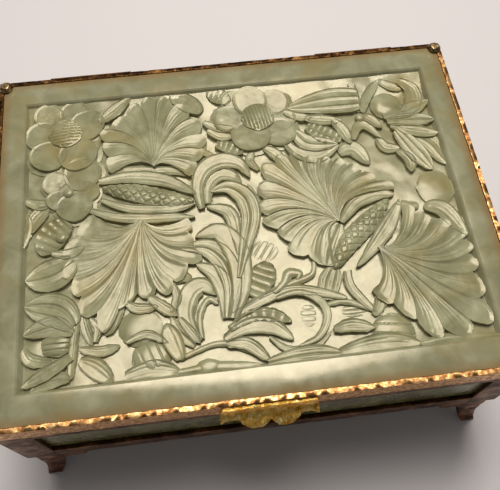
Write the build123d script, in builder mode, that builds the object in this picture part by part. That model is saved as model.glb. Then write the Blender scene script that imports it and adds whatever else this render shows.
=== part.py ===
from math import atan2, cos, degrees, radians, sin, sqrt
import os

from build123d import *

# Jade jewelry box: a carved jade lid slab in a gilt brass rim, hinged on a case of jade panels held in
# a brass frame that stands on four bracket feet. Millimetres, +Z up, +X to the box's right, front at -Y.
# The origin is on the ground under the middle of the whole box, thumb tab and hinges counted.

# Overall sizes
lid_width = 140.0
lid_depth = 108.0
lid_overhang = 0.5
foot_height = 21.5
bottom_rail_height = 6.5
panel_show = 18.5
top_rail_height = 4.5
rim_height = 7.0
lid_gap = 0.15

# Brass sections
rail_wall = 1.2
flange_thick = 1.2
bottom_flange_reach = 8.4
post_leg = 9.0
rim_wall = 1.3
rim_ledge_reach = 6.6
rim_ledge_thick = 1.0

# Jade slabs
panel_thick = 4.0
base_thick = 3.0
slab_gap = 0.1
slab_below_rim = 0.25
border_side = 6.4
border_end = 7.4

# Carving of the lid slab, as heights over the sunk ground and depths cut from those
relief_depth = 2.1
leaf_height = 1.2
fan_height = 1.8
channel_depth = 0.8
petal_heights = (1.3, 1.6)
eye_height = 1.9
eye_line_depth = 0.35
eye_line_width = 0.6
eye_line_pitch = 2.0
pod_height = 1.9
lattice_depth = 0.5
lattice_width = 0.6
lattice_pitch = 4.0

# Plan of a fan's lobes: how far its ridges lean out and gather along the midrib, how far the notches
# between lobes are drawn in, how much of a lobe each ridge takes, where its channel starts, and its lip
ridge_lean = 0.32
ridge_gather = 0.43
notch_share = 0.04
ridge_share = 0.1
channel_start = 0.16
lip_width = 0.5

# Corner rivets of the rim
rivet_inset = 2.0
rivet_shank_radius = 0.8
rivet_head_radius = 2.0
rivet_head_height = 1.3
rivet_head_bevel = 0.8
rivet_gap = 0.05

# Thumb tab
tab_half_width = 12.5
tab_plate_thick = 0.9
tab_plate_height = 4.4
tab_plate_drop = 0.8
tab_slope = 30.0
tab_lobe_reach = 4.3
tab_lobe_x = 4.1
tab_cusp_reach = 2.2
tab_hollow_reach = 1.5
tab_hollow_x = 9.6
tab_tip_reach = 2.4
tab_lobe_start_x = 7.6
tab_lobe_start_drop = 0.4
tab_top_taper = 0.6
tab_tip_flare = 0.2

# Hinges
hinge_end_inset = 28.0
hinge_length = 25.0
knuckle_count = 3
knuckle_radius = 1.6
knuckle_side_gap = 0.15
knuckle_lid_gap = 0.25
pin_radius = 0.8
pin_gap = 0.05
leaf_thick = 0.8
leaf_margin = 0.4
leaf_slot = 2.4
leaf_web = 0.3
leaf_bore_gap = 0.15

# Feet
foot_wall = 1.8
foot_splay = 1.8
foot_toe = 4.2
foot_column = 6.6
foot_ogee = 3.4
foot_wing = 14.5
foot_wing_tip = 2.4
foot_wing_root = 8.0
foot_plate_thick = 1.2
foot_plate_side = 11.0
foot_inset_side = 2.0
foot_inset_front = 0.2
foot_bend = 0.62
foot_flare_out = 0.3
foot_flare_up = 0.45
foot_hollow_in = 0.82
foot_hollow_up = 0.55
foot_cusp_drop = 4.8
foot_ogee_in = 0.35
foot_ogee_rise = 0.5
foot_tip_in = 0.3
foot_tip_rise = 0.3

# Heights and half sizes that follow
case_bottom = foot_height
panel_bottom = case_bottom + flange_thick
case_top = foot_height + bottom_rail_height + panel_show + top_rail_height
rim_bottom = case_top + lid_gap
rim_top = rim_bottom + rim_height
slab_bottom = rim_bottom + rim_ledge_thick
slab_top = rim_top - slab_below_rim
ground_level = slab_top - relief_depth
case_width = lid_width - 2 * lid_overhang
case_depth = lid_depth - 2 * lid_overhang
slab_width = lid_width - 2 * (rim_wall + slab_gap)
slab_depth = lid_depth - 2 * (rim_wall + slab_gap)
rivet_into_slab = rivet_inset - rim_wall - slab_gap
slab_corner_cut = 2 * rivet_into_slab + sqrt(2) * (rivet_shank_radius + rivet_gap) + slab_gap
hinge_x = lid_width / 2 - hinge_end_inset
knuckle_length = hinge_length / knuckle_count
axis_z = case_top
axis_back = lid_depth / 2 + knuckle_lid_gap + knuckle_radius

# The box's middle moves in Y so that the tab in front and the hinges behind reach equally far
tab_front = tab_plate_thick + tab_lobe_reach * cos(radians(tab_slope))
hinge_back = knuckle_lid_gap + 2 * knuckle_radius
mid_y = (tab_front - hinge_back) / 2

os.makedirs("parts", exist_ok=True)


def save(piece, name):
    """Label a finished solid and write it as its own node."""
    piece.label = name
    export_step(piece, f"parts/{name}.step")


def level(height, turn=0.0):
    """A horizontal plane through the box's middle, turned about Z by whole quarter turns."""
    facing = (cos(radians(turn)), sin(radians(turn)), 0)
    return Plane(origin=(0, mid_y, height), x_dir=facing, z_dir=(0, 0, 1))


# Each side of the box: its name, the quarter turn that brings the front there, its length, its distance
sides = (
    ("front", 0, lid_width, lid_depth),
    ("right", 90, lid_depth, lid_width),
    ("rear", 180, lid_width, lid_depth),
    ("left", 270, lid_depth, lid_width),
)
corners = (
    ("front_left", -1, -1),
    ("front_right", 1, -1),
    ("rear_right", 1, 1),
    ("rear_left", -1, 1),
)


def mitred_strip(length, distance, reach):
    """Plan of a rail along the front, cut at 45 degrees where it meets its neighbours."""
    with BuildSketch() as strip:
        with BuildLine():
            Polyline(
                (-length / 2, -distance / 2),
                (length / 2, -distance / 2),
                (length / 2 - reach, -distance / 2 + reach),
                (-length / 2 + reach, -distance / 2 + reach),
                close=True,
            )
        make_face()
    return strip.sketch


# Case frame: angle posts at the corners, with the rails' face strips butted between their legs
for name, side_x, side_y in corners:
    with BuildPart() as post:
        with BuildSketch(level(case_bottom)):
            with Locations((side_x * case_width / 2, side_y * case_depth / 2)):
                Rectangle(post_leg, post_leg, align=(
                    Align.MAX if side_x > 0 else Align.MIN, Align.MAX if side_y > 0 else Align.MIN))
            inside = (side_x * (case_width / 2 - rail_wall), side_y * (case_depth / 2 - rail_wall))
            with Locations(inside):
                Rectangle(post_leg, post_leg, mode=Mode.SUBTRACT, align=(
                    Align.MAX if side_x > 0 else Align.MIN, Align.MAX if side_y > 0 else Align.MIN))
        extrude(amount=case_top - case_bottom)
    save(post.part, f"{name}_post")

# Rails of the case: an angle section with its flange under the panels, and one turned over their tops.
# The front and rear flanges run the full width, and the side ones fit between them.
for name, turn, length, distance in sides:
    run = length - 2 * lid_overhang
    face_y = -(distance / 2 - lid_overhang)
    along_front = turn in (0, 180)
    top_reach = rail_wall + panel_thick
    for rail, bottom, height, flange_bottom, reach in (
        ("bottom_rail", case_bottom, bottom_rail_height, case_bottom, bottom_flange_reach),
        ("top_rail", case_top - top_rail_height, top_rail_height, case_top - flange_thick, top_reach),
    ):
        flange_run = run - 2 * (rail_wall if along_front else reach)
        with BuildPart() as strip:
            with BuildSketch(level(bottom, turn)):
                with Locations((0, face_y)):
                    Rectangle(run - 2 * post_leg, rail_wall, align=(Align.CENTER, Align.MIN))
            extrude(amount=height)
            with BuildSketch(level(flange_bottom, turn)):
                with Locations((0, face_y + rail_wall)):
                    Rectangle(flange_run, reach - rail_wall, align=(Align.CENTER, Align.MIN))
            extrude(amount=flange_thick)
        save(strip.part, f"{name}_{rail}")

# Jade side panels stand on the bottom flanges, behind the face strips. Front and rear run corner to
# corner, and the sides fit between them.
panel_height = case_top - flange_thick - slab_gap - panel_bottom
for name, turn, length, distance in sides:
    run = length - 2 * (lid_overhang + rail_wall + slab_gap)
    if turn in (90, 270):
        run -= 2 * (panel_thick + slab_gap)
    with BuildPart() as panel:
        with BuildSketch(level(panel_bottom, turn)):
            with Locations((0, -(distance / 2 - lid_overhang - rail_wall))):
                Rectangle(run, panel_thick, align=(Align.CENTER, Align.MIN))
        extrude(amount=panel_height)
    save(panel.part, f"{name}_panel")

# Jade base slab, laid on the bottom rails' flanges inside the four side panels
wall_total = rail_wall + panel_thick + slab_gap
with BuildPart() as base:
    with BuildSketch(level(panel_bottom)):
        Rectangle(case_width - 2 * wall_total, case_depth - 2 * wall_total)
    extrude(amount=base_thick)
save(base.part, "base_panel")


def foot_flare(bend_height, x=0.0):
    """Arc by which a wall's face, x in from the corner, leans out from its bend to the ground."""
    ThreePointArc((x, bend_height), (x - foot_splay * foot_flare_out, bend_height * foot_flare_up),
                  (x - foot_splay, 0))


def foot_outline():
    """Face of one wall of a foot, seen square on: x runs in from the corner, y up from the ground."""
    bend_height = foot_height * foot_bend
    waist = (foot_column, foot_height - foot_wing_root)
    hollow = (foot_column * foot_hollow_in, waist[1] * foot_hollow_up)
    cusp = (foot_column + foot_ogee, foot_height - foot_cusp_drop)
    ogee = (waist[0] + foot_ogee * foot_ogee_in, (waist[1] + cusp[1]) / 2 + foot_ogee_rise)
    tip = (foot_wing, foot_height - foot_wing_tip)
    lobe = (tip[0] - (tip[0] - cusp[0]) * foot_tip_in, cusp[1] + foot_tip_rise)
    with BuildSketch() as outline:
        with BuildLine():
            Line((0, foot_height), (0, bend_height))
            foot_flare(bend_height)
            Line((-foot_splay, 0), (foot_toe - foot_splay, 0))
            ThreePointArc((foot_toe - foot_splay, 0), hollow, waist)
            ThreePointArc(waist, ogee, cusp)
            ThreePointArc(cusp, lobe, tip)
            Line(tip, (foot_wing, foot_height))
            Line((foot_wing, foot_height), (0, foot_height))
        make_face()
    return outline.sketch


def foot_section():
    """Thickness of one wall of a foot, seen along it: a sheet that flares out towards the ground."""
    bend_height = foot_height * foot_bend
    with BuildSketch() as section:
        with BuildLine():
            Line((0, foot_height), (0, bend_height))
            foot_flare(bend_height)
            Line((-foot_splay, 0), (foot_wall - foot_splay, 0))
            foot_flare(bend_height, foot_wall)
            Line((foot_wall, bend_height), (foot_wall, foot_height))
            Line((foot_wall, foot_height), (0, foot_height))
        make_face()
    return section.sketch


# Bracket feet: two flared walls that meet at the corner, each with an ogee-cut wing along the case, and
# a plate across their top that is soldered under the rails' flanges
for name, side_x, side_y in corners:
    corner_x = side_x * (case_width / 2 - foot_inset_side)
    corner_y = mid_y + side_y * (case_depth / 2 - foot_inset_front)
    along_x = Plane(origin=(corner_x, corner_y, 0), x_dir=(-side_x, 0, 0), z_dir=(0, side_x, 0))
    along_y = Plane(origin=(corner_x, corner_y, 0), x_dir=(0, -side_y, 0), z_dir=(-side_y, 0, 0))
    walls = []
    for face_plane, edge_plane in ((along_x, along_y), (along_y, along_x)):
        with BuildPart() as wall:
            with BuildSketch(face_plane):
                add(foot_outline())
            extrude(amount=foot_wing, both=True)
            with BuildSketch(edge_plane):
                add(foot_section())
            extrude(amount=foot_wing, both=True, mode=Mode.INTERSECT)
        walls.append(wall.part)
    with BuildPart() as foot:
        add(walls[0])
        add(walls[1])
        with BuildSketch(Plane(origin=(corner_x, corner_y, foot_height - foot_plate_thick))):
            Rectangle(foot_plate_side, foot_plate_side, align=(
                Align.MAX if side_x > 0 else Align.MIN, Align.MAX if side_y > 0 else Align.MIN))
        extrude(amount=foot_plate_thick)
    save(foot.part, f"{name}_foot")

# Rim of the lid: angle rails with a ledge that carries the slab, mitred and pinned by the corner rivets
rivet_x = lid_width / 2 - rivet_inset
rivet_y = lid_depth / 2 - rivet_inset
for name, turn, length, distance in sides:
    hole_x = length / 2 - rivet_inset
    hole_y = -(distance / 2 - rivet_inset)
    with BuildPart() as rim_rail:
        with BuildSketch(level(rim_bottom, turn)):
            add(mitred_strip(length, distance, rim_wall))
        extrude(amount=rim_height)
        with BuildSketch(level(rim_bottom, turn)):
            add(mitred_strip(length, distance, rim_ledge_reach))
        extrude(amount=rim_ledge_thick)
        with BuildSketch(level(rim_bottom, turn)):
            with Locations((-hole_x, hole_y), (hole_x, hole_y)):
                Circle(rivet_shank_radius + rivet_gap)
        extrude(amount=rim_height, mode=Mode.SUBTRACT)
    save(rim_rail.part, f"lid_{name}_rail")

# Corner rivets: a shank down through rim and ledge, past the slab's cut corner, and a bevelled head
for name, side_x, side_y in corners:
    with BuildPart() as rivet:
        with BuildSketch(level(rim_bottom)):
            with Locations((side_x * rivet_x, side_y * rivet_y)):
                Circle(rivet_shank_radius)
        extrude(amount=rim_height)
        with BuildSketch(level(rim_top)):
            with Locations((side_x * rivet_x, side_y * rivet_y)):
                Circle(rivet_head_radius)
        extrude(amount=rivet_head_height)
        chamfer(rivet.edges().sort_by(Axis.Z)[-1], rivet_head_bevel)
    save(rivet.part, f"{name}_rivet")


def blade(base, tip, left, right):
    """Outline of a leaf, sheath, scroll or pod: two arcs from base to tip. Each swings out to the left
    of the straight line between them by the distance given, or to the right where that is negative."""
    chord = Vector(*tip) - Vector(*base)
    middle = Vector(*base) + chord / 2
    across = Vector(-chord.Y, chord.X).normalized()
    with BuildSketch() as outline:
        with BuildLine():
            ThreePointArc(base, middle + across * left, tip)
            ThreePointArc(tip, middle + across * right, base)
        make_face()
    return outline.sketch


def ridge(root, axis, cusp):
    """Control points of a ridge, which leaves a fan's root along its midrib and bows out to a cusp."""
    chord = cusp - root
    return [root, root + chord * ridge_lean + axis * ridge_gather * chord.length, cusp]


def share_out(first, second, share):
    """Control points a share of the way from one ridge to the next."""
    return [one + (other - one) * share for one, other in zip(first, second)]


def along(curve, run):
    """The point a share of the way along a curve with three control points."""
    near = curve[0] + (curve[1] - curve[0]) * run
    far = curve[1] + (curve[2] - curve[1]) * run
    return near + (far - near) * run


def bowed(curve, start=0.0):
    """Three points that an arc takes to follow a curve from a share of its run to its end."""
    return [along(curve, run) for run in (start, (start + 1) / 2, 1)]


def fan_cusps(root, tips):
    """The notches between a fan's lobes, and one beyond each outer lobe."""
    inner = [(one + other) / 2 for one, other in zip(tips, tips[1:])]
    cusps = [tips[0] * 2 - inner[0]] + inner + [tips[-1] * 2 - inner[-1]]
    return [cusp + (root - cusp) * notch_share for cusp in cusps]


def fan_outline(root, axis, tips):
    """Outline of a whole fan: a bowed edge, a row of round lobe tips, and a bowed edge back."""
    cusps = fan_cusps(root, tips)
    with BuildSketch() as fan:
        with BuildLine():
            ThreePointArc(*bowed(ridge(root, axis, cusps[0])))
            for left, tip, right in zip(cusps, tips, cusps[1:]):
                ThreePointArc(left, tip, right)
            ThreePointArc(*reversed(bowed(ridge(root, axis, cusps[-1]))))
        make_face()
    return fan.sketch


def channel(root, axis, left, tip, right):
    """Hollow of one lobe, cut in straight strokes between its two ridges and square inside its tip."""
    lip = (tip - root).normalized() * lip_width
    edges = ridge(root, axis, left - lip), ridge(root, axis, right - lip)
    one = bowed(share_out(*edges, ridge_share), channel_start)
    other = bowed(share_out(*edges, 1 - ridge_share), channel_start)
    with BuildSketch() as hollow:
        with BuildLine():
            Polyline(*one, *reversed(other), close=True)
        make_face()
    return hollow.sketch


# Fans of leaf lobes: where the lobes spring from, which way the midrib points, and where they end
fans = (
    ((-24.3, 18), (0.05, 1), (
        (-38, 20.5), (-39.2, 27.5), (-38.4, 34), (-32.5, 39.5), (-25.5, 43.6), (-18.5, 43.6),
        (-12.8, 39), (-9.2, 32.4), (-8.2, 25.6), (-11, 17.8))),
    ((-28.7, 1.2), (-0.18, -0.98), (
        (-14.8, -3.6), (-14.4, -10.4), (-18.4, -16.8), (-23, -22), (-29, -23.2), (-34.8, -25),
        (-40.4, -31), (-46.4, -24.6), (-49, -16.6), (-50.4, -8), (-46.4, 0.4))),
    ((26.3, -6.3), (-0.54, 0.84), (
        (19, -18.6), (12.6, -13.8), (7.6, -7.2), (4.6, -1), (4.8, 6.4), (7.6, 14), (13.2, 18.2),
        (20.4, 17.2), (27.2, 16), (33.4, 13), (38.6, 9), (43.3, 4.4))),
    ((35.3, -15.5), (0.66, -0.75), (
        (47.5, -3.8), (53.6, -7.8), (60.2, -12.6), (61, -20.4), (61, -28.6), (60.4, -38),
        (53, -43), (45, -42.6), (38.8, -35.6), (33.8, -30))),
)

# Seed pods between the fans: base, tip, and how far each side swings out
pods = (((-39.4, 12.8), (-13.8, 5.2), 3.7, -2.3), ((21.8, -20.6), (42, -0.4), 3.2, -3.2))

# Blossoms: the middle and radius of the eye, and of each petal round it
blossoms = (
    ((-49.9, 33.5, 4.5), ((-57.5, 33, 5.2), (-54.2, 41, 3.8), (-47, 40.8, 4), (-43, 35.6, 4.8),
                          (-46.5, 25.6, 5.2), (-56, 25.8, 5))),
    ((-49, 12.4, 2.4), ((-52.8, 16, 3.5), (-45, 19, 5), (-44.5, 12.3, 3), (-47.5, 7.5, 4.4))),
    ((8.2, 32.8, 4.3), ((-0.4, 33.6, 4.4), (6.2, 40.2, 4.6), (14.4, 37.4, 3.8), (15.4, 31, 3.6),
                        (14, 25.8, 4.6), (5.7, 25.4, 4.8))),
)

# Round buds: middle, radius
buds = ((-28.2, -38.6, 5.2), (34.4, -38.4, 5), (48.1, 32.3, 4.7))

# Single leaves, sheaths, scrolls and the wavy hills at the foot: base, tip, and each edge's swing
leaves = (
    ((-39, 35.6), (-30, 44.6), 2.4, -1.8), ((-40.2, 15), (-12.6, 7.4), 5.4, 1.9),
    ((-44.2, 6.2), (-13.8, 2), -0.8, -4.6), ((-48.6, 3), (-56.4, -6.6), 3.4, -3.2),
    ((-47.6, -10.4), (-60.4, -13.6), 4.2, -3.2), ((-8.2, -31), (-15.6, -15.4), -2.4, -7),
    ((-6.8, -31), (-16, -6.4), -6.6, -10.4), ((-5.8, -30), (5.8, 10.6), 2.4, -1.8),
    ((-16, -35.6), (-10.6, -23.8), 7.4, 3.4), ((-11.6, 4.4), (4.2, 6.4), 13.6, 9.4),
    ((29, -20.4), (44.6, -1.4), 1.8, -1.8), ((-6.4, -31), (24.2, -29), 6, 3.2),
    ((-47.6, -29), (-60.4, -21.2), 1.2, -6.2), ((-48.4, -36.4), (-60.4, -42.8), 2, -2),
    ((18.8, 33.5), (40, 34.6), 5, -4), ((52.4, 41.4), (50.4, 27.6), 7.6, 3.2),
    ((47, 26), (61.6, 23.6), 3, -3), ((49, 22.4), (56.4, 7.6), 3.4, -2.8),
    ((15.4, 23), (31.4, 20), 3, -5.4), ((51.4, -4.6), (60.4, -14.2), 3.6, -1.6),
    ((-35, -45.6), (-12, -45.6), 4, -1), ((-13, -45.6), (30, -45.6), 4.2, -1),
    ((28, -45.6), (62.4, -45.6), 4.6, -1),
)

# Carved lid slab: a plain border round a sunk ground, with the leaves, the fans, the blossoms and the
# pods left standing on it at their own heights
field_width = slab_width - 2 * border_side
field_depth = slab_depth - 2 * border_end
ground = level(ground_level)
with BuildPart() as slab:
    with BuildSketch(level(slab_bottom)):
        plan = Rectangle(slab_width, slab_depth)
        chamfer(plan.vertices(), slab_corner_cut)
    extrude(amount=slab_top - slab_bottom)
    with BuildSketch(ground):
        Rectangle(field_width, field_depth)
    extrude(amount=relief_depth, mode=Mode.SUBTRACT)
    with BuildSketch(ground):
        for leaf in leaves:
            add(blade(*leaf))
        for x, y, radius in buds:
            with Locations((x, y)):
                Circle(radius)
        Rectangle(field_width, field_depth, mode=Mode.INTERSECT)
    extrude(amount=leaf_height)
    for root, axis, tips in fans:
        root, axis, tips = Vector(*root), Vector(*axis).normalized(), [Vector(*tip) for tip in tips]
        cusps = fan_cusps(root, tips)
        with BuildSketch(ground):
            add(fan_outline(root, axis, tips))
            Rectangle(field_width, field_depth, mode=Mode.INTERSECT)
        extrude(amount=fan_height)
        with BuildSketch(level(ground_level + fan_height)):
            for left, tip, right in zip(cusps, tips, cusps[1:]):
                add(channel(root, axis, left, tip, right))
        extrude(amount=-channel_depth, mode=Mode.SUBTRACT)
    for eye, petals in blossoms:
        for index, height in enumerate(petal_heights):
            with BuildSketch(ground):
                for x, y, radius in petals[index::len(petal_heights)]:
                    with Locations((x, y)):
                        Circle(radius)
                Rectangle(field_width, field_depth, mode=Mode.INTERSECT)
            extrude(amount=height)
        with BuildSketch(ground):
            with Locations(eye[:2]):
                Circle(eye[2])
        extrude(amount=eye_height)
        with BuildSketch(level(ground_level + eye_height)):
            with Locations(eye[:2]):
                with GridLocations(0, eye_line_pitch, 1, int(2 * eye[2] / eye_line_pitch)):
                    Rectangle(2 * eye[2], eye_line_width)
        extrude(amount=-eye_line_depth, mode=Mode.SUBTRACT)
    for pod in pods:
        with BuildSketch(ground):
            add(blade(*pod))
        extrude(amount=pod_height)
        chord = Vector(*pod[1]) - Vector(*pod[0])
        middle = Vector(*pod[0]) + chord / 2
        turn = degrees(atan2(chord.Y, chord.X))
        lines = int(chord.length / sqrt(2) / lattice_pitch)
        with BuildSketch(level(ground_level + pod_height)):
            for slant in (45, -45):
                with Locations(Location((middle.X, middle.Y, 0), (0, 0, turn + slant))):
                    with GridLocations(lattice_pitch, 0, lines, 1):
                        Rectangle(lattice_width, chord.length)
            add(blade(*pod), mode=Mode.INTERSECT)
        extrude(amount=-lattice_depth, mode=Mode.SUBTRACT)
save(slab.part, "lid_panel")

# Thumb tab: a plate on the front rail that bends out and down into a scalloped lip
tab_top = rim_top - tab_plate_drop
bend_z = tab_top - tab_plate_height
front_y = mid_y - lid_depth / 2
slope = radians(tab_slope)
lip_plane = Plane(
    origin=(0, front_y - tab_plate_thick, bend_z),
    x_dir=(1, 0, 0),
    z_dir=(0, -sin(slope), cos(slope)),
)
with BuildPart() as tab:
    with BuildSketch(Plane(origin=(0, front_y, 0), x_dir=(1, 0, 0), z_dir=(0, -1, 0))):
        with BuildLine():
            Polyline(
                (tab_top_taper - tab_half_width, tab_top),
                (tab_half_width - tab_top_taper, tab_top),
                (tab_half_width, bend_z - tab_plate_thick),
                (-tab_half_width, bend_z - tab_plate_thick),
                close=True,
            )
        make_face()
    extrude(amount=tab_plate_thick)
    with BuildSketch(lip_plane):
        with BuildLine():
            tip = (tab_half_width + tab_tip_flare, -tab_tip_reach)
            hollow_end = (tab_lobe_start_x, -tab_hollow_reach - tab_lobe_start_drop)
            cusp = (0, -tab_cusp_reach)
            Line((0, tab_plate_thick), (tab_half_width, tab_plate_thick))
            Line((tab_half_width, tab_plate_thick), tip)
            ThreePointArc(tip, (tab_hollow_x, -tab_hollow_reach), hollow_end)
            ThreePointArc(hollow_end, (tab_lobe_x, -tab_lobe_reach), cusp)
            Line(cusp, (0, tab_plate_thick))
        make_face()
        mirror(about=Plane.YZ)
    extrude(amount=-tab_plate_thick)
    split(bisect_by=Plane(origin=(0, front_y, 0), z_dir=(0, -1, 0)), keep=Keep.TOP)
save(tab.part, "thumb_tab")


# Hinges: knuckled leaves soldered to the case's rear top rail and to the lid's rear rail, on one axis
case_face = mid_y + case_depth / 2
lid_face = mid_y + lid_depth / 2
axis_y = mid_y + axis_back
leaf_outer = axis_y - pin_radius - leaf_bore_gap
for side, centre in (("left", -hinge_x), ("right", hinge_x)):
    start = centre - hinge_length / 2
    across = Plane(origin=(start, 0, 0), x_dir=(0, 1, 0), z_dir=(1, 0, 0))
    with BuildPart() as case_leaf:
        with BuildSketch(across):
            with Locations((case_face, case_top - top_rail_height + leaf_margin)):
                Rectangle(leaf_thick, top_rail_height - leaf_margin - leaf_slot, align=Align.MIN)
        extrude(amount=hinge_length)
        for index in range(0, knuckle_count, 2):
            step = across.offset(index * knuckle_length)
            with BuildSketch(step):
                with Locations((case_face, axis_z - leaf_slot)):
                    Rectangle(leaf_outer - case_face, leaf_slot - leaf_web, align=Align.MIN)
                with Locations((axis_y, axis_z)):
                    Circle(knuckle_radius)
            extrude(amount=knuckle_length)
        with BuildSketch(across):
            with Locations((axis_y, axis_z)):
                Circle(pin_radius + pin_gap)
        extrude(amount=hinge_length, mode=Mode.SUBTRACT)
    save(case_leaf.part, f"{side}_hinge_case_leaf")
    with BuildPart() as lid_leaf:
        with BuildSketch(across):
            with Locations((lid_face, axis_z + leaf_slot)):
                Rectangle(leaf_thick, rim_height - leaf_slot - leaf_margin, align=Align.MIN)
        extrude(amount=hinge_length)
        for index in range(1, knuckle_count, 2):
            step = across.offset(index * knuckle_length + knuckle_side_gap)
            with BuildSketch(step):
                with Locations((lid_face, axis_z + lid_gap)):
                    Rectangle(leaf_thick, leaf_slot, align=Align.MIN)
                with Locations((axis_y, axis_z)):
                    Circle(knuckle_radius)
            extrude(amount=knuckle_length - 2 * knuckle_side_gap)
        with BuildSketch(across):
            with Locations((axis_y, axis_z)):
                Circle(pin_radius + pin_gap)
        extrude(amount=hinge_length, mode=Mode.SUBTRACT)
    save(lid_leaf.part, f"{side}_hinge_lid_leaf")
    with BuildPart() as pin:
        with BuildSketch(across):
            with Locations((axis_y, axis_z)):
                Circle(pin_radius)
        extrude(amount=hinge_length)
    save(pin.part, f"{side}_hinge_pin")
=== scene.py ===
from math import ceil, cos, floor, pi, radians, sin, sqrt

import bmesh
import bpy
from mathutils import Euler, Matrix, Quaternion, Vector, noise


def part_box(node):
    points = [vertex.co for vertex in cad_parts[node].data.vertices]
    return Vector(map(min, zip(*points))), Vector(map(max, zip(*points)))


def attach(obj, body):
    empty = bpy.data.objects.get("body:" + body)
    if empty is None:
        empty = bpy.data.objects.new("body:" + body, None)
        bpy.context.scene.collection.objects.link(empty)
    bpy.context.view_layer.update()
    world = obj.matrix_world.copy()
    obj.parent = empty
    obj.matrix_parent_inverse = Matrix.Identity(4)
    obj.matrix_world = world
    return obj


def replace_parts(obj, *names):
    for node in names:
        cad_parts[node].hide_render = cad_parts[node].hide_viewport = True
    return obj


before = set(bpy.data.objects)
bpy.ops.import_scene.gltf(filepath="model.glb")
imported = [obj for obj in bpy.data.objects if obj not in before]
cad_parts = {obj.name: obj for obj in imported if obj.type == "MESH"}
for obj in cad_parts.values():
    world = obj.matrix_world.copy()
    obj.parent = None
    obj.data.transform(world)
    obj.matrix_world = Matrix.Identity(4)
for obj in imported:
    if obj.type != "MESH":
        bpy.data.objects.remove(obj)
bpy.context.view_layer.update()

# The case frame: angle posts and rails of cut brass sheet, soldered at the corners. The brass has never
# been lacquered, so it has gone brown, with a little metal showing where hands and edges rub.
MM = 0.001
ARRIS_ANGLE = 35
FRAME_EDGE = 0.16
FRAME_CELL = 3.0
FRAME_WANDER = 0.10
WANDER_SEED = 1  # noise_vector starts from the clock unless it is seeded
POSTS = ("front_left_post", "front_right_post", "rear_right_post", "rear_left_post")
RAILS = tuple(f"{side}_{rail}" for side in ("front", "rear", "left", "right")
              for rail in ("bottom_rail", "top_rail"))
noise.seed_set(WANDER_SEED)


def linear(colour):
    """Linear colour of an sRGB hex value."""
    parts = [int(colour[place:place + 2], 16) / 255 for place in (1, 3, 5)]
    return tuple(part / 12.92 if part <= 0.04045 else ((part + 0.055) / 1.055) ** 2.4
                 for part in parts) + (1.0,)


def add_node(material, kind, inputs, stops=(), **settings):
    """Adds a node with its settings and links. An input may be another node's output, and stops are the
    places of a colour ramp with their colours or greys."""
    made = material.node_tree.nodes.new(kind)
    for name, value in settings.items():
        setattr(made, name, value)
    for name, value in inputs.items():
        if isinstance(value, bpy.types.NodeSocket):
            material.node_tree.links.new(value, made.inputs[name])
        else:
            made.inputs[name].default_value = value
    if stops:
        steps = made.color_ramp.elements
        steps[0].position, steps[1].position = stops[0][0], stops[-1][0]
        for position, colour in stops[1:-1]:
            steps.new(position)
        for step, (position, colour) in zip(steps, stops):
            step.color = linear(colour) if isinstance(colour, str) else (colour, colour, colour, 1.0)
    return made


def start_material(name):
    """A material with no nodes yet."""
    material = bpy.data.materials.new(name)
    material.use_nodes = True
    material.node_tree.nodes.clear()
    return material


def cut_brass(name, dark, middle, bright, polish, grain_mm, dent_mm=0.12):
    """Unlacquered sheet brass, filed and handled: a metal whose tarnish lies in blotches grain_mm
    across, with a duller skin where it is darker and dents dent_mm deep."""
    material = start_material(name)
    place = add_node(material, "ShaderNodeTexCoord", {}).outputs["Object"]
    tarnish = add_node(material, "ShaderNodeTexNoise",
                       {"Vector": place, "Scale": 1 / (grain_mm * MM), "Detail": 9.0, "Roughness": 0.72}
                       ).outputs["Fac"]
    colour = add_node(material, "ShaderNodeValToRGB", {"Fac": tarnish},
                      ((0.36, dark), (0.5, middle), (0.62, bright)))
    dullness = add_node(material, "ShaderNodeValToRGB", {"Fac": tarnish},
                        ((0.34, polish + 0.3), (0.64, polish)))
    dents = add_node(material, "ShaderNodeBump",
                     {"Height": tarnish, "Distance": dent_mm * MM, "Strength": 0.7})
    shader = add_node(material, "ShaderNodeBsdfPrincipled",
                      {"Base Color": colour.outputs["Color"], "Roughness": dullness.outputs["Color"],
                       "Metallic": 1.0, "Normal": dents.outputs["Normal"]})
    add_node(material, "ShaderNodeOutputMaterial", {"Surface": shader.outputs["BSDF"]})
    return material


def finish_piece(shape, name, body, material, sharp=40):
    """Turns a bmesh in metres into a finished piece that rides on a body."""
    mesh = bpy.data.meshes.new(name)
    shape.to_mesh(mesh)
    shape.free()
    mesh.shade_smooth()
    mesh.set_sharp_from_angle(angle=radians(sharp))
    mesh.materials.append(material)
    piece = bpy.data.objects.new(name, mesh)
    bpy.context.scene.collection.objects.link(piece)
    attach(piece, body)
    return piece


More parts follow.
